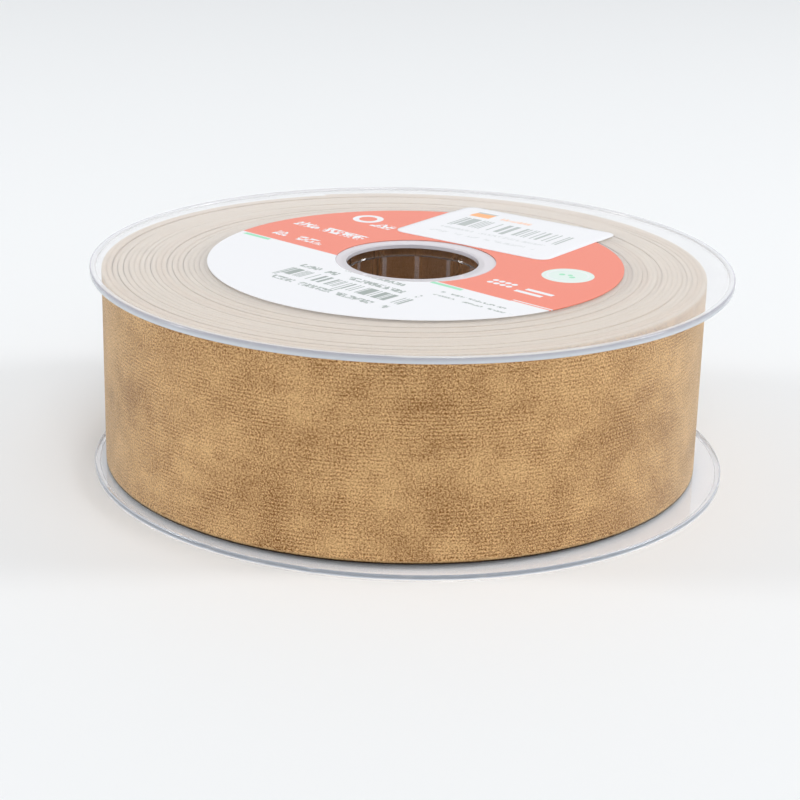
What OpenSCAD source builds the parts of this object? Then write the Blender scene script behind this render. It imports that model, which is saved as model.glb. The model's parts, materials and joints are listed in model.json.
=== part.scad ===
// Ribbon spool: two clear flanges pressed into a ribbed hub core, wound with wide velvet
// ribbon, with a round label and a price sticker on the upper flange.
// The spool stands on its lower rim. The origin is the centre of that rim's lowest plane
// and +Z runs up the bore.

/* [Spool] */
// Outside diameter of both flanges
spool_d = 123; // [105:1:200]
// Diameter of the bore that runs through flanges and core
bore_d = 25.4; // [16:0.1:36]
// Thickness of a flange's flat web
web_t = 0.95; // [0.8:0.05:2]
// Thickness of the raised rim round a flange
rim_t = 1.25; // [1.2:0.05:3.5]
// Radial width of the raised rim
rim_w = 1.2; // [1:0.1:4]
// Rounding of the rim's edges
rim_round = 0.3; // [0.1:0.05:0.5]

/* [Hub core] */
// Wall of the core's inner and outer tubes, and of the boss round the bore
tube_wall = 1.2; // [0.8:0.1:2]
// Radial width of the cells between the two tubes
cell_w = 3.9; // [3:0.1:9]
// Number of radial ribs between the tubes
rib_n = 12; // [4:1:14]
// Thickness of a rib
rib_t = 1; // [0.6:0.1:1.6]
// Turn of the first rib from +Y, in degrees
rib_turn = -4; // [-15:1:15]
// Depth of the boss round the bore on a flange's inner side
boss_h = 1.5; // [0.5:0.1:4]
// Depth to which a flange's tongues reach into the core
tongue_h = 8; // [4:0.5:12]
// Thickness of a tongue
tongue_t = 1.2; // [0.8:0.1:1.8]

/* [Ribbon] */
// Width of the ribbon
ribbon_w = 37.3; // [25:0.1:60]
// Thickness of the ribbon as it lies in the winding
ribbon_t = 1; // [0.5:0.05:2]
// Mean distance from the winding's outer turn to the edge of the flanges
rim_margin = 3.5; // [2.8:0.1:15]
// Sideways shift of the unevenly wound ribbon along X
pack_x = -1.8; // [-2:0.05:2]
// Sideways shift of the unevenly wound ribbon along Y
pack_y = 0.4; // [-2:0.05:2]
// Length of the free end, from its hinge line to the cut
end_l = 32; // [20:1:60]
// Direction of the hinge line seen from the winding's middle, in degrees from +X
end_turn = 76; // [0:1:360]

/* [Tapes] */
// Thickness of both adhesive tapes
tape_t = 0.1; // [0.05:0.05:0.3]
// Width of both tapes, measured along the spool's height
tape_w = 19; // [10:1:24]
// Length of the tape over the free end
end_tape_l = 20; // [12:1:30]
// Length of the tape that holds the ribbon's start on the hub
starter_l = 15; // [10:1:30]

/* [Labels] */
// Diameter of the round label
label_d = 80; // [50:1:95]
// Thickness of the label and of the sticker
paper_t = 0.12; // [0.08:0.02:0.2]
// Clear ring left between the bore and the label
label_ring = 2.8; // [1.5:0.1:5]
// Off-centre shift of the label along X
label_x = 0.6; // [-1:0.1:1]
// Off-centre shift of the label along Y
label_y = 0.3; // [-1:0.1:1]
// Length of the price sticker
sticker_l = 36.5; // [20:0.5:45]
// Width of the price sticker
sticker_w = 28; // [15:0.5:30]
// Rounding of the sticker's corners
sticker_round = 2.5; // [0.5:0.5:5]
// Turn of the sticker's long side from +X, in degrees
sticker_turn = -35.5; // [-180:0.5:180]
// Distance from the edge of the bore to the sticker's near side
sticker_gap = 3.5; // [0.5:0.1:8]
// Slide of the sticker along its own long side
sticker_slide = 1.5; // [-5:0.5:5]

/* [Clearances] */
// Gap between the winding and the lower flange
low_gap = 0.1; // [0.1:0.05:2]
// Gap between the winding and the upper flange
top_gap = 0.25; // [0.1:0.05:2]
// Radial gap between a flange's tongues and the core's outer tube
press_gap = 0.05; // [0.02:0.01:0.2]
// Gap on each side of a rib in its slot between two tongues
slot_gap = 0.3; // [0.1:0.05:0.6]
// Gap between the free end and the turn under it
peel_gap = 0.15; // [0.1:0.05:0.4]

/* [Hidden] */
$fn = 128;

spool_r = spool_d / 2;
bore_r = bore_d / 2;
inner_tube_r = bore_r + tube_wall;
cell_r = inner_tube_r + cell_w;
hub_r = cell_r + tube_wall;
pack_r = spool_r - rim_margin;

low_face = rim_t;
ribbon_z = low_face + low_gap;
top_face = ribbon_z + ribbon_w + top_gap;
web_top = top_face + web_t;
core_h = top_face - low_face;
tape_z = ribbon_z + (ribbon_w - tape_w) / 2;

tongue_r = cell_r - press_gap;
tongue_lead = 0.4;
slot_w = rib_t + 2 * slot_gap;

end_arc = arc(end_l, pack_r);
end_tape_arc = arc(end_tape_l, pack_r);
end_tape_turn = end_turn + end_arc - end_tape_arc / 2;
peel_arc = arc(peel_gap, pack_r);
pocket_arc = end_arc + end_tape_arc / 2 + 2 * peel_arc;
starter_turn = 200;

plastic = [0.86, 0.89, 0.92, 0.35];
velvet = [0.72, 0.55, 0.37];
clear_film = [0.95, 0.95, 0.93, 0.4];

// Angle in degrees that a length covers on a circle
function arc(length, r) = length / r * 180 / PI;

// Rectangle with round corners, standing on the X axis to the right of the origin
module rounded(w, h, r) {
    translate([r, 0]) square([w - 2 * r, h]);
    translate([0, r]) square([w, h - 2 * r]);
    for (x = [r, w - r], y = [r, h - r]) translate([x, y]) circle(r);
}

module tube(outer_r, inner_r, h) {
    difference() {
        cylinder(r = outer_r, h = h);
        translate([0, 0, -1]) cylinder(r = inner_r, h = h + 2);
    }
}

// Upright strip bent round the Z axis
module bent_strip(r, t, h, turn, sweep) {
    rotate([0, 0, turn]) rotate_extrude(angle = sweep) translate([r, 0]) square([t, h]);
}

module at_pack(z) {
    translate([pack_x, pack_y, z]) children();
}

// Everything that repeats at the ribs, as many times as there are ribs
module at_ribs() {
    for (i = [0 : rib_n - 1]) rotate([0, 0, 90 + rib_turn + i * 360 / rib_n]) children();
}

// Section of a flange, its inner side on the X axis and its outer side up
module flange_section() {
    translate([bore_r, 0]) square([spool_r - rim_w / 2 - bore_r, web_t]);
    translate([spool_r - rim_w, 0]) rounded(rim_w, rim_t, rim_round);
    translate([bore_r, -boss_h]) square([tube_wall, boss_h + web_t / 2]);
}

// Section of the tongues, with a sloping lead at the tip
module tongue_section() {
    inner_r = tongue_r - tongue_t;
    polygon([
        [inner_r, web_t / 2], [tongue_r, web_t / 2], [tongue_r, -tongue_h + 1],
        [tongue_r - tongue_lead, -tongue_h], [inner_r, -tongue_h]
    ]);
}

// One flange moulding, lying with its inner side down at z = 0
module flange() {
    tongue_arc = 360 / rib_n - arc(slot_w, tongue_r - tongue_t);
    rotate_extrude() flange_section();
    at_ribs() rotate([0, 0, 180 / rib_n - tongue_arc / 2])
        rotate_extrude(angle = tongue_arc) tongue_section();
}

module upper_flange() {
    color(plastic) translate([0, 0, top_face]) flange();
}

// The same moulding turned over
module lower_flange() {
    color(plastic) translate([0, 0, low_face]) mirror([0, 0, 1]) flange();
}

module hub_core() {
    rib_h = core_h - 2 * boss_h;
    color(plastic) {
        translate([0, 0, low_face]) tube(hub_r, cell_r, core_h);
        translate([0, 0, low_face + boss_h]) {
            tube(inner_tube_r, bore_r, rib_h);
            at_ribs() translate([bore_r + tube_wall / 2, -rib_t / 2, 0])
                cube([cell_w + tube_wall, rib_t, rib_h]);
        }
    }
}

module starter_tape() {
    color(clear_film) translate([0, 0, tape_z])
        bent_strip(hub_r, tape_t, tape_w, starter_turn, arc(starter_l, hub_r));
}

// The wound length, with room for its free end in the outer turn
module ribbon_winding() {
    pocket_r = pack_r - ribbon_t - peel_gap;
    color(velvet) difference() {
        at_pack(ribbon_z) cylinder(r = pack_r, h = ribbon_w);
        translate([0, 0, ribbon_z - 1]) cylinder(r = hub_r, h = ribbon_w + 2);
        starter_tape();
        at_pack(ribbon_z - 1)
            bent_strip(pocket_r, 2 * ribbon_t, ribbon_w + 2, end_turn - peel_arc, pocket_arc);
    }
}

// The last stretch of the same ribbon, in line with the outer turn
module ribbon_free_end() {
    color(velvet) at_pack(ribbon_z)
        bent_strip(pack_r - ribbon_t, ribbon_t, ribbon_w, end_turn, end_arc);
}

// Half of this tape is on the free end and half reaches past the cut
module end_tape() {
    color(clear_film) at_pack(tape_z)
        bent_strip(pack_r, tape_t, tape_w, end_tape_turn, end_tape_arc);
}

module round_label() {
    color([0.95, 0.6, 0.54]) translate([0, 0, web_top]) difference() {
        translate([label_x, label_y, 0]) cylinder(d = label_d, h = paper_t);
        translate([label_x, label_y, -1]) cylinder(r = bore_r + label_ring, h = paper_t + 2);
    }
}

module price_sticker() {
    color("white") translate([0, 0, web_top + paper_t]) rotate([0, 0, sticker_turn])
        translate([sticker_slide - sticker_l / 2, bore_r + sticker_gap, 0])
            linear_extrude(paper_t) rounded(sticker_l, sticker_w, sticker_round);
}

upper_flange();
lower_flange();
hub_core();
ribbon_winding();
ribbon_free_end();
starter_tape();
end_tape();
round_label();
price_sticker();
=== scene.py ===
"""Looks of a clear plastic spool wound with wide velvet ribbon.

The file is laid out as an add-on: each piece of the spool is made by its own operator, and
the sizes and colours that a user would change are properties in the sidebar.
"""

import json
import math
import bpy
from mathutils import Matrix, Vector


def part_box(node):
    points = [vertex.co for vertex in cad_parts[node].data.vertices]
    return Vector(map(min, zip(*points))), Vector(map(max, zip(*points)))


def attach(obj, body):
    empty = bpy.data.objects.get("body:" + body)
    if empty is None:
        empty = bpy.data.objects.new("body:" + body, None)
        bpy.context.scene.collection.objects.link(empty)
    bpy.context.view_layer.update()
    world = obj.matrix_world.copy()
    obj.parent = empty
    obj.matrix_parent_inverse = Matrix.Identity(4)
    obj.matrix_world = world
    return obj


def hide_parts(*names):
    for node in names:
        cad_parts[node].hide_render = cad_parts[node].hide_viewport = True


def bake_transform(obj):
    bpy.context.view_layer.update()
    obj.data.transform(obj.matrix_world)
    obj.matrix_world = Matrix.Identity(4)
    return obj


bl_info = {
    "name": "Ribbon Spool",
    "version": (1, 0, 0),
    "blender": (4, 5, 0),
    "location": "View3D > Sidebar > Ribbon Spool",
    "description": "Builds a clear spool of velvet ribbon, its labels and its stage",
    "category": "Add Mesh",
}

import bmesh
import bpy
from mathutils import Matrix, Quaternion, Vector, noise

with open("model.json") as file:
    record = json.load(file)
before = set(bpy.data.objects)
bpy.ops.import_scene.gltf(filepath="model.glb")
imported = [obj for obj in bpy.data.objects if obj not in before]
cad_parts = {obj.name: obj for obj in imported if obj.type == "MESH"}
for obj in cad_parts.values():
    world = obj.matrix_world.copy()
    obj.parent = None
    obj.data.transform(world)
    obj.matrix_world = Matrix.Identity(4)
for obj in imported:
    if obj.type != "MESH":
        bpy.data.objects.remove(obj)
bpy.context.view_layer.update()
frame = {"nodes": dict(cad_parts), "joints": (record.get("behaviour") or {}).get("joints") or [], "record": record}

MM = 0.001
SAME = 0.0005 * MM
SPOOL = "spool"
FREE_END = "free_end"
HINGE = frame["joints"][0]
BORE = next(m for m in frame["record"]["mounts"] if m["name"] == "spindle_bore")


# ---------------------------------------------------------------- places in the frame


def corners(node):
    """Lowest and highest corner of a CAD node, as vectors in metres."""
    low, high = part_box(node)
    return Vector(low), Vector(high)


def middle(node):
    """Middle of a CAD node's box."""
    low, high = corners(node)
    return (low + high) / 2


def radius(node):
    """Half the width of a round CAD node."""
    low, high = corners(node)
    return (high.x - low.x) / 2


BORE_R = BORE["dims"]["r_mm"] * MM
SPOOL_R = radius("upper_flange")
SPOOL_H = corners("upper_flange")[1].z
HUB_R = radius("hub_core")
LOW_FACE, TOP_FACE = (corner.z for corner in corners("hub_core"))
WEB_TOP = corners("round_label")[0].z
PACK_R = radius("ribbon_winding")
# The room for the free end narrows the winding's box on one side only.
PACK_CENTRE = Vector(
    (middle("ribbon_winding").x, corners("ribbon_winding")[0].y + PACK_R, 0)
)
RIBBON_Z, RIBBON_TOP = (corner.z for corner in corners("ribbon_free_end"))
HINGE_AT = Vector(HINGE["pos_m"])


# ---------------------------------------------------------------- what a user may change


def length(name, description, default, **more):
    """A property that holds a length in metres."""
    return bpy.props.FloatProperty(
        name=name, description=description, default=default, unit="LENGTH", **more
    )


def angle(name, description, degrees, **more):
    """A property that holds an angle, whose default is given in degrees."""
    return bpy.props.FloatProperty(
        name=name,
        description=description,
        default=math.radians(degrees),
        subtype="ANGLE",
        **more,
    )


def colour(name, description, *rgb):
    """A property that holds a colour, whose default is given as 8-bit sRGB."""
    return bpy.props.FloatVectorProperty(
        name=name,
        description=description,
        default=[channel(value) for value in rgb],
        subtype="COLOR",
        min=0,
        max=1,
    )


def channel(value):
    """An 8-bit sRGB channel as scene light."""
    share = value / 255
    return share / 12.92 if share <= 0.04045 else ((share + 0.055) / 1.055) ** 2.4


class SpoolSizes(bpy.types.PropertyGroup):
    """Sizes of the flanges and the hub that the frame's boxes don't give"""

    rim_width: length("Rim width", "Radial width of the raised rim", 1.2 * MM)
    rim_round: length("Rim rounding", "Rounding of the rim's edges", 0.3 * MM)
    bore_round: length("Bore rounding", "Rounding of the bore's edges", 0.2 * MM)
    # The milky ring round the bore is painted light.
    boss_ring: length("Boss ring", "Width of the milky ring round the bore", 3.4 * MM)
    boss_glow: length("Boss glow", "Depth of the milky ring in the bore", 0.8 * MM)
    tube_wall: length("Tube wall", "Wall of the hub's two tubes", 1.2 * MM)
    boss_height: length("Boss height", "Depth of the boss round the bore", 1.5 * MM)
    tongue_height: length("Tongue height", "Depth of the press-in tongues", 8 * MM)
    tongue_thick: length("Tongue thickness", "Thickness of a tongue", 1.2 * MM)
    press_gap: length("Press gap", "Gap between tongues and hub", 0.05 * MM)
    cell_width: length("Cell width", "Distance between the two tubes", 3.9 * MM)
    rib_count: bpy.props.IntProperty(
        name="Ribs", description="Radial ribs between the tubes", default=12, min=3
    )
    rib_thick: length("Rib thickness", "Thickness of a rib", 1 * MM)
    rib_turn: angle("Rib turn", "Turn of the first rib from +Y", -4)
    steps: bpy.props.IntProperty(
        name="Steps", description="Steps of a full turn", default=360, min=60
    )


class RibbonSizes(bpy.types.PropertyGroup):
    """How the ribbon is made and wound"""

    thickness: length("Thickness", "Thickness of the ribbon, pile and all", 0.95 * MM)
    pitch: length("Pitch", "Mean distance from turn to turn", 1 * MM)
    steps: bpy.props.IntProperty(
        name="Steps", description="Steps in one turn of the winding", default=96, min=24
    )
    row: length("Row", "Distance between the rows of the knit", 0.66 * MM)
    stitch: length("Stitch", "Distance between the stitches of a row", 0.6 * MM)
    lead: angle("Lead", "Arc of the last turn that is made with the free end", 55)
    bend: length("Bend", "Length of ribbon over which the free end bends", 9 * MM)


class LabelSizes(bpy.types.PropertyGroup):
    """Sizes of the label and the sticker"""

    ring: length("Clear ring", "Clear ring between the bore and the label", 2.8 * MM)
    chord: length("Chord", "Distance from the label's middle to the white part", 8.5 * MM)
    turn: angle("Turn", "Turn of the label's print", -41.5)
    sticker_length: length("Sticker length", "Length of the price sticker", 36.5 * MM)
    sticker_width: length("Sticker width", "Width of the price sticker", 28 * MM)
    sticker_round: length("Sticker corners", "Rounding of its corners", 2.5 * MM)
    sticker_turn: angle("Sticker turn", "Turn of the sticker", -35.5)


class SpoolColours(bpy.types.PropertyGroup):
    """Colours of the finishes"""

    plastic: colour("Plastic", "Tint of the clear plastic", 254, 254, 255)
    # The rim and boss colours are painted light: the light that the clear plastic gathers, painted into its
    # colour.
    rim_inside: colour("Rim inside", "Milky light in a rim's inner side", 234, 235, 238)
    rim_outside: colour("Rim outside", "Milky light low on the upper rim", 240, 247, 255)
    rim_shade: colour("Rim shade", "Milky light high on the upper rim", 208, 208, 218)
    rim_foot: colour("Rim foot", "Milky light in the lower rim", 194, 202, 213)
    boss: colour("Boss", "Milky light round the bore", 236, 232, 238)
    pile: colour("Pile", "Velvet seen at the tips of its pile", 223, 183, 130)
    pile_root: colour("Pile root", "Velvet between the tufts", 112, 68, 26)
    sheen: colour("Sheen", "Velvet seen at a low angle", 236, 222, 200)
    selvedge: colour("Selvedge", "Cut edge of the ribbon", 210, 196, 176)
    # Painted shadow: the ribbon's lower cut edge and a ragged line low on its face are painted dark.
    selvedge_shade: colour("Selvedge shadow", "Painted shadow along the ribbon's lower edge", 40, 28, 18)
    backing: colour("Backing", "Woven back of the ribbon", 190, 142, 100)
    coral: colour("Coral", "Coloured part of the label", 238, 131, 108)
    paper: colour("Paper", "White of the label and the sticker", 236, 237, 240)
    ink: colour("Ink", "Printed bars and greeked rows", 128, 143, 136)
    mint: colour("Mint", "Roundel", 220, 235, 228)
    green: colour("Green", "Thin bars and the roundel's marks", 150, 222, 184)
    amber: colour("Amber", "Small marks on the sticker", 246, 176, 112)
    floor: colour("Floor", "The stage's floor", 240, 242, 243)


class StageSizes(bpy.types.PropertyGroup):
    """Where the camera stands"""

    distance: length("Distance", "From the camera to the spool's foot", 398.8 * MM)
    elevation: angle("Elevation", "Height of the camera above the floor", 20.61)
    aim: bpy.props.FloatVectorProperty(
        name="Aim",
        description="Point that the camera looks at",
        default=(-1.8 * MM, 0, 11.5 * MM),
        subtype="TRANSLATION",
    )
    roll: angle("Roll", "Roll of the camera", 1.34)
    lens: bpy.props.FloatProperty(
        name="Lens", description="Focal length in millimetres", default=90.2
    )


# ---------------------------------------------------------------- shader maths


def maths(operation, swapped=False):
    """A method that adds one Math node, with its own socket first, or last if swapped."""

    def method(self, *others):
        values = (*others, self) if swapped else (self, *others)
        return self.shader.node("Math", {"operation": operation}, dict(enumerate(values)))

    return method


class Sum:
    """An output socket in an expression: each operator adds the Math node it stands for."""

    def __init__(self, shader, socket):
        self.shader = shader
        self.socket = socket

    __add__ = maths("ADD")
    __radd__ = maths("ADD", swapped=True)
    __sub__ = maths("SUBTRACT")
    __rsub__ = maths("SUBTRACT", swapped=True)
    __mul__ = maths("MULTIPLY")
    __rmul__ = maths("MULTIPLY", swapped=True)
    __truediv__ = maths("DIVIDE")
    __pow__ = maths("POWER")
    __gt__ = maths("GREATER_THAN")
    __lt__ = maths("LESS_THAN")
    __or__ = maths("MAXIMUM")
    __abs__ = maths("ABSOLUTE")
    floor = maths("FLOOR")
    sine = maths("SINE")

    def between(self, low, high):
        """1 inside a stretch and 0 outside it."""
        return (self > low) * (self < high)

    def ramp(self, low, high):
        """0 below low, 1 above high and a smooth rise between."""
        settings = {"interpolation_type": "SMOOTHSTEP"}
        values = {0: self, 1: low, 2: high}
        return self.shader.node("MapRange", settings, values)


class Finish:
    """A material, or the world, under construction."""

    PLAIN_IOR = 1.45

    def __init__(self, name, kind="materials"):
        self.made = getattr(bpy.data, kind).new(name)
        self.made.use_nodes = True
        self.tree = self.made.node_tree
        self.tree.nodes.clear()

    def node(self, kind, settings=None, values=None, out=0):
        """Adds a node, sets it up and fills its sockets with values or links."""
        node = self.tree.nodes.new("ShaderNode" + kind)
        for key, value in (settings or {}).items():
            setattr(node, key, value)
        for key, value in (values or {}).items():
            if isinstance(value, Sum):
                self.tree.links.new(value.socket, node.inputs[key])
            else:
                node.inputs[key].default_value = value
        return Sum(self, node.outputs[out]) if node.outputs else None

    def place(self, scale=1, turn=0, at=(0, 0, 0)):
        """Object coordinates, measured from a point, turned about Z and scaled."""
        coordinates = self.node("TexCoord", out="Object")
        rotation = Matrix.Rotation(turn, 3, "Z")
        location = -(rotation @ Vector(at)) * scale
        values = {
            "Vector": coordinates,
            "Location": location,
            "Rotation": (0, 0, turn),
            "Scale": (scale, scale, scale),
        }
        return self.node("Mapping", None, values)

    def split(self, vector):
        """The three parts of a vector."""
        parts = self.node("SeparateXYZ", None, {0: vector}).socket.node
        return [Sum(self, socket) for socket in parts.outputs]

    def join(self, x=0, y=0, z=0):
        return self.node("CombineXYZ", None, {0: x, 1: y, 2: z})

    def noise(self, vector, scale, detail=2, rough=0.5):
        values = {"Vector": vector, "Scale": scale, "Detail": detail, "Roughness": rough}
        return self.node("TexNoise", None, values)

    def mix(self, share, first, second):
        """A colour between two others."""
        values = {0: share}
        for key, value in ((6, first), (7, second)):
            values[key] = value if isinstance(value, Sum) else (*value, 1)
        return self.node("Mix", {"data_type": "RGBA"}, values, 2)

    def bump(self, height, distance, strength=1):
        values = {"Height": height, "Distance": distance, "Strength": strength}
        return self.node("Bump", None, values)

    def principled(self, colour, **values):
        """A Principled shader, whose sockets are named with underscores for spaces."""
        sockets = {key.replace("_", " "): value for key, value in values.items()}
        sockets["Base Color"] = colour if isinstance(colour, Sum) else (*colour, 1)
        sockets.setdefault("IOR", self.PLAIN_IOR)
        return self.node("BsdfPrincipled", None, sockets)

    def done(self, shader, kind="OutputMaterial"):
        self.node(kind, None, {"Surface": shader})
        return self.made


POLYSTYRENE_IOR = 1.58
LOWER_IOR = 1.3
HUB_IOR = 1.18


def clear_plastic(name, tint, bend, painted_glow=None, clearness=1.0):
    """Clear polystyrene, very slightly wavy, that lets lamplight through to what it holds.

    What lies low or deep inside is given a low bend, to let more of the light behind it
    through. With painted glow, which is a colour that changes from place to place, it is the part
    of a rim or a boss that is painted with the light running inside the plastic, and looks milky."""
    finish = Finish(name)
    place = finish.place(scale=1 / MM)
    waves = finish.noise(place, 0.06, detail=1)
    scuffs = finish.noise(place, 0.9, detail=4, rough=0.7)
    plastic = finish.principled(
        painted_glow(finish, place) if painted_glow else tint,
        Transmission_Weight=clearness,
        Roughness=0.02 + scuffs.ramp(0.55, 0.8) * 0.08,
        IOR=bend,
        Normal=finish.bump(waves, 0.2 * MM, 0.4),
    )
    clear = finish.node("BsdfTransparent", None, {0: (*tint, 1)})
    shader = plastic
    for ray in ("Is Diffuse Ray", "Is Shadow Ray"):
        passes = finish.node("LightPath", out=ray)
        shader = finish.node("MixShader", None, {0: passes, 1: shader, 2: clear})
    return finish.done(shader)


def painted_rim_plastic(name, colours, clearness):
    """The rims and bosses, painted with gathered light: pale inside a rim, bluish on its face, with painted
    highlights.
    """
    white = (1, 1, 1)
    painted_foot_highlight = 0.45
    streak_share = 0.3

    def depth(distance):
        """Distance from the axis of what lies so many millimetres inside the rim's face."""
        return (SPOOL_R - distance * MM) / MM

    def painted_glow(finish, place):
        x, y, z = finish.split(place)
        far = (x * x + y * y) ** 0.5
        # Painted glow: the upper rim darker high up and paler low down, the lower rim bluish over a painted white
        # highlight at its foot, and a rim's inner side pale.
        high = z.ramp((TOP_FACE + 0.3 * MM) / MM, (SPOOL_H - 0.1 * MM) / MM)
        upper_face = finish.mix(high, colours.rim_outside, colours.rim_shade)
        lower_face = finish.mix(z < painted_foot_highlight, colours.rim_foot, white)
        face = finish.mix(z < LOW_FACE * 2 / MM, upper_face, lower_face)
        rim = finish.mix(far.ramp(depth(0.45), depth(0.2)), colours.rim_inside, face)
        # Paler streaks at random in the painted glow.
        streaks = finish.noise(place, 0.35, detail=3)
        shade = finish.mix(streaks.ramp(0.5, 0.75) * streak_share, rim, colours.paper)
        # A painted highlight along the upper rim's outer edge, at the front and a little to the right.
        corner = far.between(depth(0.5), depth(0.08))
        painted_highlight = x.ramp(-5, 0) * (1 - x.ramp(28, 40)) * (y < 0) * (z > TOP_FACE / MM)
        shade = finish.mix(corner * painted_highlight, shade, white)
        # Round the bore the boss is painted with milky light.
        return finish.mix(far < 2 * BORE_R / MM, shade, colours.boss)

    return clear_plastic(name, colours.plastic, POLYSTYRENE_IOR, painted_glow, clearness)


def velvet(sizes, colours):
    """Short pile on a warp knit, crushed here and there, with a pale cut edge and painted shadow along its lower
    edge.

    The attribute ribbon_place holds the distance along the ribbon, the distance across it
    and how near the cut edge is, which is below zero on the ribbon's back."""
    finish = Finish("velvet")
    attribute = {"attribute_name": "ribbon_place"}
    along, across, edge = finish.split(finish.node("Attribute", attribute, out="Vector"))
    along = along / MM
    across = across / MM
    turn_row = math.tau * MM / sizes.row
    turn_stitch = math.tau * MM / sizes.stitch

    # The knit: rows across the ribbon and stitches along each row, neither of them straight.
    row_drift, stitch_sway, row_stagger = 7, 9, 1.6
    grain = finish.join(along, across, edge)
    drift = finish.noise(grain, 0.3, detail=2) - 0.5
    sway = finish.noise(finish.join(across, along, edge), 0.45, detail=2) - 0.5
    rows = (across * turn_row + drift * row_drift).sine()
    stagger = (across * (turn_row / 2)).sine() * row_stagger
    stitches = (along * turn_stitch + stagger + sway * stitch_sway).sine()

    # The pile: tufts and single fibres, with the knit showing where the pile stands upright.
    row_share, stitch_share, tuft_share, fuzz_share = 0.09, 0.11, 1.35, 1.5
    tufts = finish.noise(grain, 2.6, detail=2, rough=0.65) - 0.5
    fuzz = finish.noise(finish.join(along * 0.8, across * 1.2, edge), 6.5, detail=1) - 0.5
    upright = finish.noise(grain, 0.1, detail=2).ramp(0.38, 0.62)
    knit = (rows * row_share + rows * stitches * stitch_share) * upright
    pile = 0.5 + knit + tufts * tuft_share + fuzz * fuzz_share

    # The nap: broad patches, brushed places and long smears where the pile leans over.
    patch_share, brushed_share, smear_share = 0.62, 0.42, 0.15
    patches = finish.noise(finish.join(along * 0.7, across, edge), 0.085, detail=5) - 0.5
    brushed = finish.noise(finish.join(along, across * 0.8, edge + 7), 0.26, detail=4) - 0.5
    smears = finish.noise(finish.join(along * 0.2, across * 1.4, edge), 0.3, detail=3) - 0.5
    nap = patches * patch_share + brushed * brushed_share + smears * smear_share
    creases = finish.noise(finish.join(along * 0.1, across * 2.2, edge), 0.6, detail=2)
    dents = creases.ramp(0.68, 0.8) * 0.15
    lit = (pile + nap * 0.75 - dents).ramp(0.12, 0.86)
    face = finish.mix(lit, colours.pile_root, colours.pile)

    # The cut edge changes along the ribbon and from turn to turn, and low down it is painted dark with shadow.
    painted_shadow_height = 1
    edge_tone = finish.noise(finish.join(along * 0.03, 0, 0), 1, detail=2)
    cut = finish.mix(edge_tone.ramp(0.2, 0.8) * 0.12, colours.selvedge, colours.backing)
    x, y, _ = finish.split(finish.place(1 / MM, 0, PACK_CENTRE))
    bands = finish.noise(finish.join((x * x + y * y) ** 0.5, 0, 0), 0.4, detail=3)
    cut = finish.mix(bands.ramp(0.42, 0.68) * 0.22, cut, colours.backing)
    cut = finish.mix(across < painted_shadow_height, cut, colours.selvedge_shade)

    # Low on the pile's face a pale line stands over a dark and ragged line of painted shadow, where the ribbon
    # meets the flange.
    face = finish.mix(across.between(0.4, 0.7) * 0.4, face, colours.pile)
    ragged = across + fuzz * 0.2 + tufts * 0.2
    painted_bottom_shadow = 1 - ragged.ramp(0.34, 0.48)
    face = finish.mix(painted_bottom_shadow, face, colours.selvedge_shade)

    # The back is woven.
    threads = (along * turn_stitch).sine() * (across * turn_row * 2).sine() * 0.5 + 0.5
    web = finish.mix(threads * 0.4 + tufts + 0.2, colours.backing, colours.pile_root)
    face = finish.mix(edge < -0.3, face, web)
    shown = finish.mix(edge.ramp(0.15, 0.6), face, cut)
    return finish.done(
        finish.principled(
            shown,
            Roughness=0.85,
            Sheen_Weight=1,
            Sheen_Roughness=0.33,
            Sheen_Tint=(*colours.sheen, 1),
            Specular_IOR_Level=0.15,
            Normal=finish.bump(pile, 0.12 * MM, 0.75),
        )
    )


class Print:
    """Marks laid over a paper colour, in millimetres along and across the print.

    A mark's place is given as left, right, low and high."""

    def __init__(self, finish, vector, ground):
        self.finish = finish
        self.vector = vector
        self.along, self.across, _ = finish.split(vector)
        self.colour = ground

    def lay(self, mask, ink):
        """Prints in an ink wherever the mask is 1."""
        self.colour = self.finish.mix(mask, self.colour, ink)

    def block(self, left, right, low, high):
        """1 inside a rectangle."""
        return self.along.between(left, right) * self.across.between(low, high)

    def disc(self, x, y, size):
        """1 within a distance of a point."""
        far = ((self.along - x) ** 2 + (self.across - y) ** 2) ** 0.5
        return far < size

    def ring(self, x, y, inner, outer):
        """1 between two distances from a point."""
        return self.disc(x, y, outer) * (1 - self.disc(x, y, inner))

    def greeked(self, left, right, low, high, pitch):
        """A row of strokes that stands for text and spells nothing."""
        strokes = self.finish.node(
            "Mapping", None, {"Vector": self.vector, "Scale": (1 / pitch, 0.5 / pitch, 1)}
        )
        letters = self.finish.noise(strokes, 2.2, detail=1) > 0.47
        words = self.finish.noise(strokes, 0.35, detail=0) > 0.4
        return self.block(left, right, low, high) * letters * words

    def bars(self, left, right, low, high, module, guard):
        """Upright bars of uneven width, with longer guards at both ends and in the middle."""
        number = ((self.along - left) / module).floor()
        random = self.finish.node("TexWhiteNoise", {"noise_dimensions": "1D"}, {"W": number})
        half = (left + right) / 2
        long_bars = self.block(left, right, low - guard, low) * (
            self.along.between(left, left + 3 * module)
            | self.along.between(half - 2 * module, half + 2 * module)
            | self.along.between(right - 3 * module, right)
        )
        return (self.block(left, right, low, high) | long_bars) * (random > 0.5)


def paper_finish(finish, place, colour, smooth, rise, **more):
    """Printed paper whose roughness rises from the smooth one with its fibres."""
    fibre = finish.noise(place, 2.5, detail=3)
    roughness = smooth + fibre * rise
    normal = finish.bump(fibre, 0.01 * MM, 0.5)
    return finish.done(finish.principled(colour, Roughness=roughness, Normal=normal, **more))


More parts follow.
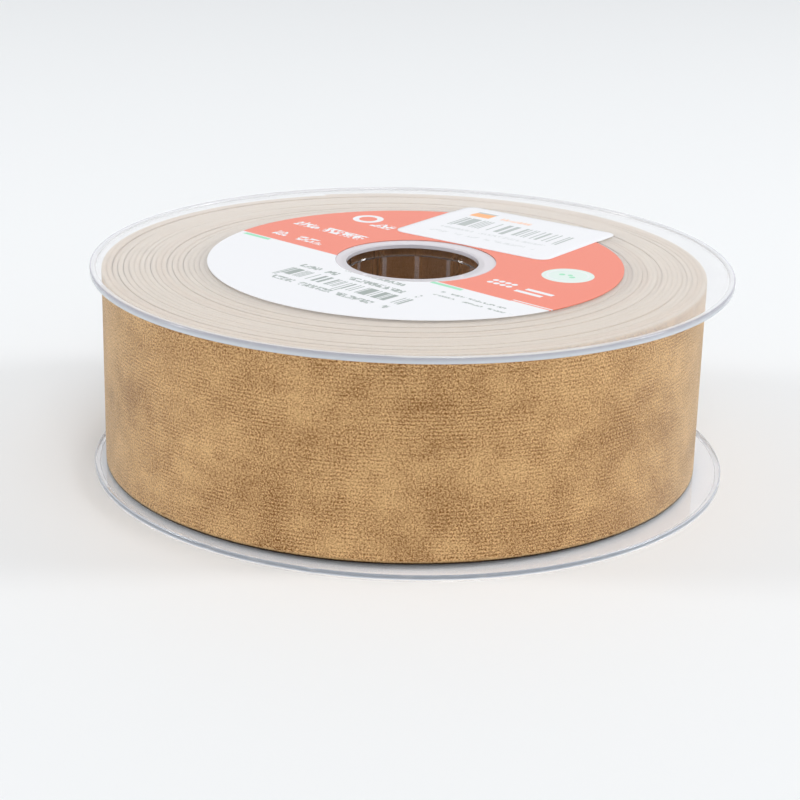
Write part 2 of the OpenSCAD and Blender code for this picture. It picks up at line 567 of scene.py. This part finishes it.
def label_paper(sizes, colours):
    """Satin paper, coral above a straight edge and white below it, with generic print."""
    finish = Finish("label_paper")
    centre = middle("round_label")
    place = finish.place(1 / MM, -sizes.turn, centre)
    paint = Print(finish, place, finish.mix(0, colours.paper, colours.paper))
    edge = -sizes.chord / MM
    paint.lay(paint.across > edge, colours.coral)

    for left, right in ((-37.6, -30.5), (12.4, 19.8)):
        paint.lay(paint.block(left, right, edge - 1.5, edge - 0.4), colours.green)
    for low, high in ((edge - 0.2, edge + 0.25), (edge + 0.7, edge + 1.1)):
        paint.lay(paint.block(30.4, 41, low, high), colours.paper)

    paint.lay(paint.ring(-28.6, 17.2, 1.9, 3.2), colours.paper)
    for left, right, low, high, pitch in (
        (-25, -19.5, 13.4, 16.4, 1.3),
        (-36.5, -18, 3, 6.2, 1.5),
        (-34, -20.5, -5.6, -2.8, 1.3),
    ):
        paint.lay(paint.greeked(left, right, low, high, pitch), colours.paper)

    roundel = (27.2, 12.6)
    paint.lay(paint.disc(*roundel, 5), colours.mint)
    paint.lay(paint.ring(*roundel, 3.7, 4.1) * 0.6, colours.paper)
    for x, y, size in ((25.9, 12.5, 0.6), (27.4, 13.1, 0.5), (28.5, 12.2, 0.6)):
        paint.lay(paint.disc(x, y, size), colours.green)

    for step in range(8):
        column, row = divmod(step, 2)
        spot = paint.disc(19.8 + 1.5 * column, -1.4 + 1.7 * row, 0.62)
        paint.lay(spot, colours.paper)
    line_length, line_height = 6.2, 1.15
    for left, low in ((26.6, -3.0), (27.6, -0.9)):
        line = paint.block(left, left + line_length, low, low + line_height)
        paint.lay(line, colours.paper)

    paint.lay(paint.bars(-12.4, 19, -25, -20.7, 0.28, 1.6) * 0.85, colours.ink)
    for left, right, low, high, pitch in (
        (-11, 18, -28.6, -26.8, 1.2),
        (-12.5, 17.5, -19.3, -17.5, 1.3),
        (-4, 12, -15.6, -14.2, 1.0),
        (18, 33, -13.4, -12.6, 0.8),
        (18, 37, -15.6, -14.9, 0.8),
    ):
        paint.lay(paint.greeked(left, right, low, high, pitch) * 0.8, colours.ink)

    return paper_finish(finish, place, paint.colour, 0.38, 0.12, Coat_Weight=0.15)


def sticker_paper(sizes, colours):
    """Matt white paper with generic marks: a small block, a line, bars and faint rows."""
    finish = Finish("sticker_paper")
    place = finish.place(1 / MM, -sizes.sticker_turn, middle("price_sticker"))
    paint = Print(finish, place, finish.mix(0, colours.paper, colours.paper))
    paint.lay(paint.block(-13.6, -8.8, 6.8, 10) * 0.9, colours.amber)
    paint.lay(paint.block(-13.6, -8.8, 10, 11) * 0.5, colours.ink)
    paint.lay(paint.block(-6.4, 1, 7.6, 8.6) * 0.3, colours.amber)
    paint.lay(paint.greeked(-6.4, 1, 7.4, 9.2, 1.2) * 0.4, colours.amber)
    paint.lay(paint.bars(-13, 13.4, -1.5, 5, 0.36, 0.8) * 0.6, colours.ink)
    row_height = 1.3
    for low in (-5, -8.6):
        paint.lay(paint.greeked(-13, 12, low, low + row_height, 1.1) * 0.22, colours.ink)
    return paper_finish(finish, place, paint.colour, 0.5, 0.15)


def tape_film(colours):
    """Thin clear film with a faintly milky face."""
    finish = Finish("tape_film")
    streaks = finish.noise(finish.place(1 / MM), 0.5, detail=3)
    return finish.done(
        finish.principled(
            colours.paper,
            Roughness=0.12 + streaks * 0.15,
            Alpha=0.16,
            Coat_Weight=0.6,
            Normal=finish.bump(streaks, 0.05 * MM, 0.4),
        )
    )


def floor_paint(colours):
    """Pale paint, with painted shade that darkens it towards the front, where the lamp is near."""
    finish = Finish("floor_paint")
    place = finish.place(1)
    _, y, _ = finish.split(place)
    speck = finish.noise(place, 3, detail=2)
    front = (1 - y.ramp(-0.22, 0.2)) * 0.9 + speck * 0.1
    shade = [value * 0.93 for value in colours.floor]
    paint = finish.mix(front, colours.floor, shade)
    return finish.done(finish.principled(paint, Roughness=0.65))


# ---------------------------------------------------------------- shaping


def lathe(bm, section, steps, arc=math.tau, turn=0.0):
    """Turns a closed section, given as (radius, height) points, round the Z axis."""
    verts = [bm.verts.new((x, 0, z)) for x, z in section]
    edges = [bm.edges.new((a, b)) for a, b in zip(verts, verts[1:] + verts[:1])]
    full = arc >= math.tau
    caps = [] if full else [bm.faces.new(verts)]
    bmesh.ops.rotate(bm, verts=verts, matrix=Matrix.Rotation(turn, 3, "Z"))
    bmesh.ops.spin(
        bm,
        geom=verts + edges + caps,
        cent=(0, 0, 0),
        axis=(0, 0, 1),
        angle=arc,
        steps=steps,
        use_merge=full,
    )


def round_hoops(bm, hoops, size, segments):
    """Bevels the round edges that lie at the given (radius, height) places."""
    tiny = 0.01 * MM

    def on_hoop(vert, hoop):
        far = math.hypot(vert.co.x, vert.co.y)
        return abs(far - hoop[0]) < tiny and abs(vert.co.z - hoop[1]) < tiny

    edges = [
        edge
        for edge in bm.edges
        if any(all(on_hoop(vert, hoop) for vert in edge.verts) for hoop in hoops)
    ]
    bmesh.ops.bevel(
        bm,
        geom=edges,
        offset=size,
        offset_type="OFFSET",
        segments=segments,
        profile=0.5,
        affect="EDGES",
        material=-1,
    )


def piece(name, bm, material, body, node, sharp=math.radians(40)):
    """Makes the finished object, which stands for a CAD node and rides on its body.

    A piece that bends across a joint is given no body here."""
    bmesh.ops.remove_doubles(bm, verts=bm.verts, dist=SAME)
    bmesh.ops.recalc_face_normals(bm, faces=bm.faces)
    mesh = bpy.data.meshes.new(name)
    bm.to_mesh(mesh)
    bm.free()
    mesh.shade_smooth()
    mesh.set_sharp_from_angle(angle=sharp)
    mesh.materials.append(material)
    made = bpy.data.objects.new(name, mesh)
    bpy.context.collection.objects.link(made)
    if body:
        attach(made, body)
    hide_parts(node)
    return made


def keep_flats(made):
    """Stops rounded edges from bending the shading of the flat faces beside them."""
    modifier = made.modifiers.new("Flat faces", "WEIGHTED_NORMAL")
    modifier.keep_sharp = True


# ---------------------------------------------------------------- flanges and hub


def flange_shape(sizes):
    """A flange with its inner side at z = 0 and its outer side up."""
    bm = bmesh.new()
    web = WEB_TOP - TOP_FACE
    rim_top = SPOOL_H - TOP_FACE
    inner_rim = SPOOL_R - sizes.rim_width
    boss_r = BORE_R + sizes.tube_wall
    ring_r = BORE_R + sizes.boss_ring
    section = [
        (BORE_R, -sizes.boss_height),
        (boss_r, -sizes.boss_height),
        (boss_r, 0),
        (ring_r, 0),
        (SPOOL_R, 0),
        (SPOOL_R, rim_top),
        (inner_rim, rim_top),
        (inner_rim, web),
        (ring_r, web),
        (BORE_R, web),
        (BORE_R, web - sizes.boss_glow),
    ]
    lathe(bm, section, sizes.steps)
    outer = [(SPOOL_R, 0), (SPOOL_R, rim_top), (inner_rim, rim_top)]
    round_hoops(bm, outer, sizes.rim_round, 6)
    round_hoops(bm, [(BORE_R, web)], sizes.bore_round, 4)

    # The tongues leave a slot for each rib between them.
    cell_r = boss_r + sizes.cell_width
    outer_r = cell_r - sizes.press_gap
    inner_r = outer_r - sizes.tongue_thick
    slot = sizes.rib_thick + 0.6 * MM
    arc = math.tau / sizes.rib_count - slot / inner_r
    lead, lead_height = 0.4 * MM, 1 * MM
    tip = -sizes.tongue_height
    root = -0.01 * MM
    tongue = [
        (inner_r, root),
        (outer_r, root),
        (outer_r, tip + lead_height),
        (outer_r - lead, tip),
        (inner_r, tip),
    ]
    for turn in rib_turns(sizes):
        lathe(bm, tongue, 10, arc, turn + (math.tau / sizes.rib_count - arc) / 2)
    return bm


def rib_turns(sizes):
    """Direction of each rib."""
    start = math.pi / 2 + sizes.rib_turn
    return [start + i * math.tau / sizes.rib_count for i in range(sizes.rib_count)]


def nick(bm, turn, height, width, depth):
    """Presses a small dent in the rim's outer face, or raises one with a depth below zero."""
    reach = 0.6 * MM
    for vert in bm.verts:
        far = math.hypot(vert.co.x, vert.co.y)
        if far < SPOOL_R - reach:
            continue
        off = math.remainder(math.atan2(vert.co.y, vert.co.x) - turn, math.tau) * SPOOL_R
        near = math.exp(-((off / width) ** 2) - ((vert.co.z - height) / reach) ** 2)
        vert.co.x -= math.cos(turn) * depth * near
        vert.co.y -= math.sin(turn) * depth * near


def make_flanges(context):
    sizes = context.scene.spool_sizes
    colours = context.scene.spool_colours
    upper = flange_shape(sizes)
    bmesh.ops.translate(upper, verts=upper.verts, vec=(0, 0, TOP_FACE))
    lower = flange_shape(sizes)
    bmesh.ops.scale(lower, verts=lower.verts, vec=(1, 1, -1))
    bmesh.ops.translate(lower, verts=lower.verts, vec=(0, 0, LOW_FACE))
    nick_width = 0.7 * MM
    for degrees, height, depth in ((-124.5, 0.7, 0.35), (-105.3, 0.9, -0.25), (-84, 0.6, 0.2)):
        nick(lower, math.radians(degrees), height * MM, nick_width, depth * MM)

    rim = SPOOL_R - sizes.rim_width - 0.02 * MM
    ring = BORE_R + sizes.boss_ring
    skin_depth = sizes.boss_glow + 0.52 * MM
    for name, bm, bend, clearness in (
        ("upper_flange", upper, POLYSTYRENE_IOR, 0.42),
        ("lower_flange", lower, LOWER_IOR, 0.5),
    ):
        # The rim's faces, and the boss's faces near the bore, take the painted glow.
        for face in bm.faces:
            at = face.calc_center_median()
            far = at.to_2d().length
            skin = not skin_depth < at.z < SPOOL_H - skin_depth
            face.material_index = int(far > rim or far < ring and skin)
        clear = clear_plastic(name + "_clear", colours.plastic, bend)
        made = piece(name + "_shell", bm, clear, SPOOL, name)
        made.data.materials.append(painted_rim_plastic(name + "_painted_rim_light", colours, clearness))
        keep_flats(made)


CELL_STEPS = 12


def hub_plan(bm, sizes):
    """Plan of the hub: two rings and the ribs between them."""
    inner = BORE_R + sizes.tube_wall
    outer = inner + sizes.cell_width
    half = sizes.rib_thick / 2
    sector = math.tau / sizes.rib_count

    def ring(near, far, rib_r):
        """Draws a sector of a ring and returns its two corners where the rib meets it."""
        rib = 2 * math.asin(half / rib_r)
        ends = [Matrix.Rotation(-rib / 2, 3, "Z") @ Vector((r, 0, 0)) for r in (near, far)]
        verts = [bm.verts.new(end) for end in ends]
        root = [verts[ends.index(max(ends, key=lambda end: -abs(end.length - rib_r)))]]
        line = verts + [bm.edges.new(verts)]
        for arc, steps in ((rib, 1), (sector - rib, CELL_STEPS)):
            turned = {"cent": (0, 0, 0), "axis": (0, 0, 1), "angle": arc, "steps": steps}
            line = bmesh.ops.spin(bm, geom=line, **turned)["geom_last"]
            if steps == 1:
                fresh = [item for item in line if isinstance(item, bmesh.types.BMVert)]
                root.append(min(fresh, key=lambda vert: abs(vert.co.length - rib_r)))
        return root

    low_root = ring(BORE_R, inner, inner)
    high_root = ring(outer, HUB_R, outer)
    bmesh.ops.contextual_create(bm, geom=low_root + high_root)
    bmesh.ops.remove_doubles(bm, verts=bm.verts, dist=2 * SAME)
    bmesh.ops.spin(
        bm,
        geom=bm.verts[:] + bm.edges[:] + bm.faces[:],
        cent=(0, 0, 0),
        axis=(0, 0, 1),
        angle=math.tau - sector,
        steps=sizes.rib_count - 1,
        use_duplicate=True,
    )
    bmesh.ops.remove_doubles(bm, verts=bm.verts, dist=2 * SAME)
    turn = Matrix.Rotation(math.pi / 2 + sizes.rib_turn, 3, "Z")
    bmesh.ops.rotate(bm, verts=bm.verts, matrix=turn)


def make_hub(context):
    sizes = context.scene.spool_sizes
    bm = bmesh.new()
    hub_plan(bm, sizes)
    height = TOP_FACE - LOW_FACE
    grown = bmesh.ops.extrude_face_region(bm, geom=bm.faces[:])["geom"]
    raised = [item for item in grown if isinstance(item, bmesh.types.BMVert)]
    bmesh.ops.translate(bm, verts=raised, vec=(0, 0, height))
    # The inner tube is shorter than the outer one, to leave room for the flanges' bosses.
    limit = BORE_R + sizes.tube_wall + 0.01 * MM
    inset = sizes.boss_height + 0.02 * MM
    for vert in bm.verts:
        if math.hypot(vert.co.x, vert.co.y) < limit:
            vert.co.z += -inset if vert.co.z > height / 2 else inset
    bmesh.ops.translate(bm, verts=bm.verts, vec=(0, 0, LOW_FACE))
    bm.normal_update()
    # The widest facets of the bore are the ribs' ends, which are painted with milky light.
    stripe = 0.7 * sizes.rib_thick * (height - 2 * sizes.boss_height)
    for face in bm.faces:
        near = face.calc_center_median().to_2d().length < BORE_R + 0.1 * MM
        face.material_index = int(near and face.calc_area() > stripe)
    colours = context.scene.spool_colours
    clear = clear_plastic("hub_plastic", colours.plastic, HUB_IOR)
    sharp = math.radians(20)
    made = piece("hub_core_shell", bm, clear, SPOOL, "hub_core", sharp)
    # The ribs' ends in the bore are painted with the boss's milky light as painted highlights.
    milky = (HUB_IOR, lambda *_: colours.boss, 0.82)
    made.data.materials.append(clear_plastic("ribs_with_painted_light", colours.plastic, *milky))


# ---------------------------------------------------------------- ribbon


def clamp(value):
    """The value, or 0 below 0 and 1 above 1."""
    return min(max(value, 0), 1)


def ease(share):
    """A smooth rise from 0 to 1."""
    return share * share * (3 - 2 * share)


class Winding:
    """The ribbon's way from the hub out to its cut end.

    A place along it is a turn number, which is 0 at the hub. The turns after those in
    LOOSE lie a little further out, and the pile stands PROUD of the CAD winding."""

    LOOSE = (7.4, 13.2, 23.6, 26.3, 29.7, 34.7, 36.1)
    LOOSE_GAP = 0.08 * MM
    TIGHTER = 0.04 * MM
    HUB_GAP = 0.12 * MM
    PROUD = 0.35 * MM
    RIPPLE = 0.035 * MM
    SLIDE = 0.12 * MM
    DIP = 0.06 * MM
    LOOSE_DIP = 0.2 * MM
    ROUNDING = 0.09 * MM
    ROUND_STEPS = 4
    FRONT_SHARES = (0.04, 0.28, 0.5, 0.72, 0.96)
    BACK_SHARES = (0.985, 0.5, 0.015)

    def __init__(self, sizes):
        self.sizes = sizes
        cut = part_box("end_tape")
        tape_middle = Vector([(low + high) / 2 for low, high in zip(*cut)]) - PACK_CENTRE
        self.end_turn = math.atan2(tape_middle.y, tape_middle.x)
        self.first_r = HUB_R + self.HUB_GAP + sizes.thickness / 2
        self.last_r = PACK_R + self.PROUD - sizes.thickness / 2
        spare = len(self.LOOSE) * self.LOOSE_GAP
        self.tight_pitch = sizes.pitch - self.TIGHTER
        self.turns = (self.last_r - self.first_r - spare) / self.tight_pitch
        self.hinge_turn = math.atan2(
            HINGE_AT.y - PACK_CENTRE.y, HINGE_AT.x - PACK_CENTRE.x
        )

    def angle(self, turn):
        """Direction of a place on the winding."""
        return self.end_turn - math.tau * (self.turns - turn)

    def radius(self, turn):
        """Distance from the winding's middle to the middle of the ribbon's thickness."""
        even = self.first_r + turn * self.tight_pitch
        loose = sum(self.LOOSE_GAP * clamp((turn - at) * 1.6) for at in self.LOOSE)
        return even + loose

    def point(self, turn, out):
        """A point over the floor's plane at a distance outwards from the ribbon's middle."""
        a = self.angle(turn)
        ripple = noise.noise((math.cos(a) * 1.7, math.sin(a) * 1.7, turn * 0.9))
        r = self.radius(turn) + out + self.RIPPLE * ripple
        centre = PACK_CENTRE * turn / self.turns
        return centre + Vector((math.cos(a) * r, math.sin(a) * r, 0))

    def shift(self, turn):
        """How far a turn has slid down and how far its upper edge has sunk."""
        a = self.angle(turn)
        slow = noise.noise((math.cos(a) * 0.8, math.sin(a) * 0.8, turn * 0.55))
        quick = noise.noise((math.cos(a) * 2.5, math.sin(a) * 2.5, turn * 1.9 + 40))
        sunk = sum(
            self.LOOSE_DIP * math.exp(-(((turn - at - 0.3) / 0.45) ** 2)) for at in self.LOOSE
        )
        return self.SLIDE * slow, self.DIP * (quick + 0.6) + sunk

    def section(self, turn):
        """Points of the ribbon's section there, each with how far across and how near the edge."""
        half = self.sizes.thickness / 2
        slid, sunk = self.shift(turn)
        low = RIBBON_Z + 0.02 * MM + slid * 0.4
        high = RIBBON_TOP - sunk * 0.9
        rounding = self.ROUNDING
        points = [(half, low + (high - low) * share, 0) for share in self.FRONT_SHARES]
        for side, level in ((1, high - rounding), (-1, low + rounding)):
            for step in range(self.ROUND_STEPS + 1):
                a = math.pi * step / self.ROUND_STEPS
                out = side * half * math.cos(a)
                edge = 0.45 + 0.55 * math.sin(a)
                points.append((out, level + side * math.sin(a) * rounding, edge))
            if side > 0:
                back = [(-half, low + (high - low) * share, -1) for share in self.BACK_SHARES]
                points += back
        return points


def sweep_ribbon(winding, start, stop, along=0.0):
    """The ribbon from one turn number to another, as a closed strip, and its length.

    Its first end is a distance along the whole ribbon."""
    bm = bmesh.new()
    place = bm.verts.layers.float_vector.new("ribbon_place")
    steps = round((stop - start) * winding.sizes.steps)
    corners_round = len(winding.section(0))
    bmesh.ops.create_grid(bm, x_segments=steps, y_segments=corners_round, size=1)
    rings = [[None] * (corners_round + 1) for _ in range(steps + 1)]
    for vert in bm.verts:
        ring = round((vert.co.x + 1) / 2 * steps)
        rings[ring][round((vert.co.y + 1) / 2 * corners_round)] = vert

    first = along
    last = winding.point(start, 0)
    for step, ring in enumerate(rings):
        turn = start + (stop - start) * step / steps
        here = winding.point(turn, 0)
        along += (here - last).length
        last = here
        outward = Vector((math.cos(winding.angle(turn)), math.sin(winding.angle(turn)), 0))
        section = winding.section(turn)
        for vert, (out, height, edge) in zip(ring, section + section[:1]):
            vert.co = here + outward * out + Vector((0, 0, height))
            vert[place] = (along, height - RIBBON_Z, edge)
    bmesh.ops.remove_doubles(bm, verts=bm.verts, dist=SAME)
    bmesh.ops.holes_fill(bm, edges=bm.edges, sides=corners_round)
    return bm, along - first


def make_ribbon(context):
    sizes = context.scene.ribbon_sizes
    material = velvet(sizes, context.scene.spool_colours)
    winding = Winding(sizes)
    lead = (sizes.lead + winding.end_turn - winding.hinge_turn) / math.tau
    split = winding.turns - lead

    soft = math.radians(60)
    bm, run = sweep_ribbon(winding, 0, split)
    wound = piece("wound_ribbon", bm, material, SPOOL, "ribbon_winding", soft)

    bm, run = sweep_ribbon(winding, split, winding.turns, along=run)
    end = piece("ribbon_end", bm, material, None, "ribbon_free_end", soft)
    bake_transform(end)


# ---------------------------------------------------------------- tapes, label and sticker


def make_tapes(context):
    colours = context.scene.spool_colours
    film = tape_film(colours)
    starter = frame["nodes"]["starter_tape"]
    starter.data.materials.clear()
    starter.data.materials.append(film)

    # The film lies on the free end, steps down past its cut and goes on over the turn below.
    winding = Winding(context.scene.ribbon_sizes)
    low, high = (corner.z for corner in corners("end_tape"))
    half = (high - low) / 2
    reach = half / PACK_R
    ribbon_face = winding.sizes.thickness / 2
    end_r = winding.last_r + ribbon_face + 0.09 * MM
    under_r = winding.radius(winding.turns - 1) + ribbon_face + 0.12 * MM
    step_length = 1.6 * MM
    bm = bmesh.new()
    bmesh.ops.create_grid(bm, x_segments=48, y_segments=6, size=0.5)
    for vert in bm.verts:
        turn = vert.co.x * 2 * reach
        r = end_r + (under_r - end_r) * ease(clamp(turn * PACK_R / step_length))
        a = winding.end_turn + turn
        height = (low + high) / 2 + vert.co.y * 2 * half
        vert.co = PACK_CENTRE + Vector((r * math.cos(a), r * math.sin(a), height))
    tape = piece("end_tape_film", bm, film, FREE_END, "end_tape", math.pi)
    thick = tape.modifiers.new("Film", "SOLIDIFY")
    thick.thickness = 0.06 * MM


def make_label(context):
    sizes = context.scene.label_sizes
    centre = middle("round_label")
    low, high = (corner.z for corner in corners("round_label"))
    low += 0.01 * MM
    inner, outer = BORE_R + sizes.ring, radius("round_label")
    bm = bmesh.new()
    lathe(bm, [(inner, low), (outer, low), (outer, high), (inner, high)], 240)
    bmesh.ops.translate(bm, verts=bm.verts, vec=(centre.x, centre.y, 0))
    paper = label_paper(sizes, context.scene.spool_colours)
    piece("round_label_paper", bm, paper, SPOOL, "round_label")


def make_sticker(context):
    sizes = context.scene.label_sizes
    bm = bmesh.new()
    bmesh.ops.create_grid(bm, x_segments=1, y_segments=1, size=0.5)
    stretch = (sizes.sticker_length, sizes.sticker_width, 1)
    bmesh.ops.scale(bm, verts=bm.verts, vec=stretch)
    bmesh.ops.bevel(
        bm,
        geom=bm.verts[:],
        offset=sizes.sticker_round,
        offset_type="OFFSET",
        segments=6,
        profile=0.5,
        affect="VERTICES",
        material=-1,
    )
    # Cut into small faces, so that the paper can bend down over the label's edge.
    cut = 0.75 * MM
    for axis, span in ((0, sizes.sticker_length), (1, sizes.sticker_width)):
        for i in range(1, int(span / cut)):
            at, normal = Vector(), Vector()
            at[axis] = i * cut - span / 2
            normal[axis] = 1
            geom = bm.verts[:] + bm.edges[:] + bm.faces[:]
            bmesh.ops.bisect_plane(bm, geom=geom, plane_co=at, plane_no=normal)
    bmesh.ops.rotate(bm, verts=bm.verts, matrix=Matrix.Rotation(sizes.sticker_turn, 3, "Z"))
    centre = middle("price_sticker")
    bmesh.ops.translate(bm, verts=bm.verts, vec=(centre.x, centre.y, 0))

    label = middle("round_label")
    label_r = radius("round_label")
    top = corners("round_label")[1].z + 0.01 * MM
    web = WEB_TOP + 0.015 * MM
    fall_length = 1.3 * MM
    for vert in bm.verts:
        over = math.hypot(vert.co.x - label.x, vert.co.y - label.y) - label_r
        vert.co.z = top + (web - top) * ease(clamp(over / fall_length))
    paper = sticker_paper(sizes, context.scene.spool_colours)
    made = piece("price_sticker_paper", bm, paper, SPOOL, "price_sticker")
    thick = made.modifiers.new("Paper", "SOLIDIFY")
    thick.thickness = 0.1 * MM
    thick.offset = 1


# ---------------------------------------------------------------- stage


HORIZON = (0.97, 0.975, 0.99)
ZENITH = (0.315, 0.32, 0.33)

# Name; direction from the spool; distance, width and depth in metres; power in watts
LAMPS = (
    ("softbox_front", (0.1, -0.8, 0.75), 3.2, 2, 1.5, 33),
    ("softbox_top", (0.25, -0.25, 0.95), 3, 1.6, 1.2, 11.5),
    ("strip_right", (0.9, 0.05, 0.45), 1.6, 0.3, 0.7, 7.5),
    ("strip_left", (-0.9, 0.0, 0.45), 1.6, 0.3, 0.7, 6),
    ("strip_above", (0.12, 0.05, 1), 1.5, 0.5, 0.1, 2),
)


def make_floor(scene):
    bm = bmesh.new()
    bmesh.ops.create_circle(bm, cap_ends=True, segments=96, radius=4)
    bmesh.ops.translate(bm, verts=bm.verts, vec=(0, 0, -0.03 * MM))
    mesh = bpy.data.meshes.new("floor")
    bm.to_mesh(mesh)
    bm.free()
    mesh.materials.append(floor_paint(scene.spool_colours))
    floor = bpy.data.objects.new("floor", mesh)
    scene.collection.objects.link(floor)


def make_light(scene):
    """A sky that is pale at the horizon, and lamps of which only the strips show in gloss."""
    studio = Finish("studio", "worlds")
    _, _, height = studio.split(studio.node("TexCoord", out="Generated"))
    sky = studio.mix(abs(height).ramp(0.05, 0.9), HORIZON, ZENITH)
    scene.world = studio.done(studio.node("Background", None, {"Color": sky}), "OutputWorld")

    for name, direction, distance, width, depth, power in LAMPS:
        light = bpy.data.lights.new(name, "AREA")
        light.shape = "RECTANGLE"
        light.size = width
        light.size_y = depth
        light.energy = power
        lamp = bpy.data.objects.new(name, light)
        lamp.location = Vector(direction).normalized() * distance
        lamp.rotation_euler = (-lamp.location).to_track_quat("-Z", "Y").to_euler()
        lamp.visible_glossy = not name.startswith("softbox")
        scene.collection.objects.link(lamp)


def make_camera(scene):
    stage = scene.stage_sizes
    camera = bpy.data.cameras.new("camera")
    camera.lens = stage.lens
    camera.sensor_width = 36
    camera.clip_start = 0.01
    eye = bpy.data.objects.new("camera", camera)
    back = math.cos(stage.elevation)
    up = math.sin(stage.elevation)
    eye.location = Vector((0, -back, up)) * stage.distance
    gaze = (Vector(stage.aim) - eye.location).to_track_quat("-Z", "Y")
    eye.rotation_euler = (gaze @ Quaternion((0, 0, 1), stage.roll)).to_euler()
    scene.collection.objects.link(eye)
    scene.camera = eye


def make_stage(context):
    scene = context.scene
    make_floor(scene)
    make_light(scene)
    make_camera(scene)
    scene.view_settings.view_transform = "Standard"


# ---------------------------------------------------------------- operators and panel


class Maker:
    """What the operators share: each one calls its own function."""

    bl_options = {"REGISTER", "UNDO"}

    def execute(self, context):
        self.make(context)
        return {"FINISHED"}


class RIBBONSPOOL_OT_stage(Maker, bpy.types.Operator):
    """Sets up the floor, the soft light and the camera"""

    bl_idname = "ribbon_spool.stage"
    bl_label = "Stage"
    make = staticmethod(make_stage)


class RIBBONSPOOL_OT_flanges(Maker, bpy.types.Operator):
    """Makes the two clear flanges"""

    bl_idname = "ribbon_spool.flanges"
    bl_label = "Flanges"
    make = staticmethod(make_flanges)


class RIBBONSPOOL_OT_hub(Maker, bpy.types.Operator):
    """Makes the clear ribbed core"""

    bl_idname = "ribbon_spool.hub"
    bl_label = "Hub"
    make = staticmethod(make_hub)


class RIBBONSPOOL_OT_ribbon(Maker, bpy.types.Operator):
    """Makes the wound ribbon and its free end"""

    bl_idname = "ribbon_spool.ribbon"
    bl_label = "Ribbon"
    make = staticmethod(make_ribbon)


class RIBBONSPOOL_OT_tapes(Maker, bpy.types.Operator):
    """Makes the tapes at the ribbon's two ends"""

    bl_idname = "ribbon_spool.tapes"
    bl_label = "Tapes"
    make = staticmethod(make_tapes)


class RIBBONSPOOL_OT_label(Maker, bpy.types.Operator):
    """Makes the round printed label"""

    bl_idname = "ribbon_spool.label"
    bl_label = "Label"
    make = staticmethod(make_label)


class RIBBONSPOOL_OT_sticker(Maker, bpy.types.Operator):
    """Makes the price sticker"""

    bl_idname = "ribbon_spool.sticker"
    bl_label = "Sticker"
    make = staticmethod(make_sticker)


OPERATORS = (
    RIBBONSPOOL_OT_stage,
    RIBBONSPOOL_OT_flanges,
    RIBBONSPOOL_OT_hub,
    RIBBONSPOOL_OT_ribbon,
    RIBBONSPOOL_OT_tapes,
    RIBBONSPOOL_OT_label,
    RIBBONSPOOL_OT_sticker,
)

GROUPS = {
    "spool_sizes": SpoolSizes,
    "ribbon_sizes": RibbonSizes,
    "label_sizes": LabelSizes,
    "spool_colours": SpoolColours,
    "stage_sizes": StageSizes,
}


class RIBBONSPOOL_PT_panel(bpy.types.Panel):
    """Lists the spool's sizes, colours and pieces"""

    bl_label = "Ribbon Spool"
    bl_space_type = "VIEW_3D"
    bl_region_type = "UI"
    bl_category = "Ribbon Spool"

    def draw(self, context):
        for name, group in GROUPS.items():
            box = self.layout.box()
            box.label(text=group.__doc__)
            for key in group.__annotations__:
                box.prop(getattr(context.scene, name), key)
        for made in OPERATORS:
            self.layout.operator(made.bl_idname)


CLASSES = [*GROUPS.values(), *OPERATORS, RIBBONSPOOL_PT_panel]


def register():
    for item in CLASSES:
        bpy.utils.register_class(item)
    for name, group in GROUPS.items():
        setattr(bpy.types.Scene, name, bpy.props.PointerProperty(type=group))


def unregister():
    for name in GROUPS:
        delattr(bpy.types.Scene, name)
    for item in reversed(CLASSES):
        bpy.utils.unregister_class(item)


def main():
    register()
    for made in OPERATORS:
        group, name = made.bl_idname.split(".")
        getattr(getattr(bpy.ops, group), name)()


if __name__ == "__main__":
    main()
